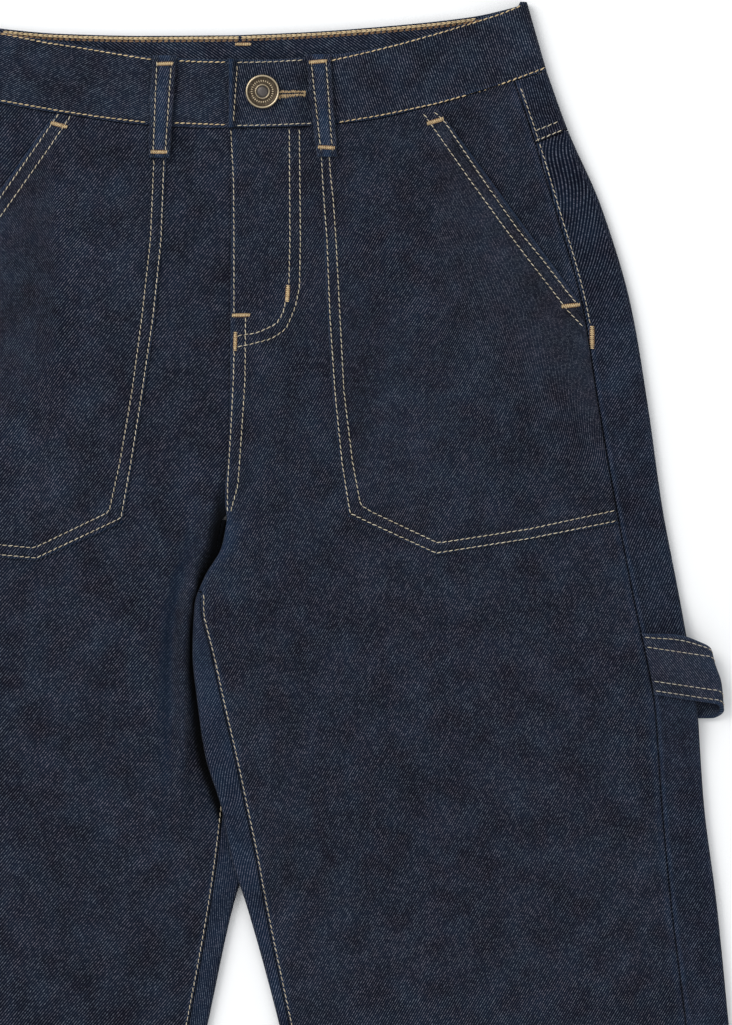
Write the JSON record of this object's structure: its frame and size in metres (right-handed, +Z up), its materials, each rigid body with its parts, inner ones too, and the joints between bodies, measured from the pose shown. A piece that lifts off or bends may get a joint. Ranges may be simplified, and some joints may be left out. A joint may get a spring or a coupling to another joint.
{
  "type": "baggy jeans",
  "caption": "Baggy denim work jeans laid flat on their back, with a curved buttoned waistband, slanted patch pockets and a hammer loop.",
  "frame": {"origin": "under the middle of the jeans' outline, on the surface they lie on", "axes": "+Y towards the waist, +X towards the wearer's left leg, +Z up out of the front of the jeans"},
  "size_m": [0.564, 0.9042, 0.012],
  "materials": {
    "denim": "dark rinsed indigo twill, matt",
    "loop_denim": "dark indigo twill, a little paler on its folded edges",
    "button_metal": "antique, worn",
    "zip_tape": "dark woven tape",
    "thread": "tan and gold topstitching"
  },
  "bodies": {
    "root": {"front_left": "denim", "front_right": "denim", "back_left": "denim", "back_right": "denim", "yoke_left": "denim", "yoke_right": "denim", "waistband": "denim", "patch_pocket_left": "denim", "patch_pocket_right": "denim", "belt_loop_front_left": "loop_denim", "belt_loop_front_right": "loop_denim", "belt_loop_back_middle": "loop_denim", "belt_loop_back_left": "loop_denim", "belt_loop_back_right": "loop_denim", "hammer_loop": "loop_denim", "button": "button_metal", "fly_zip": "zip_tape"}
  },
  "joints": []
}
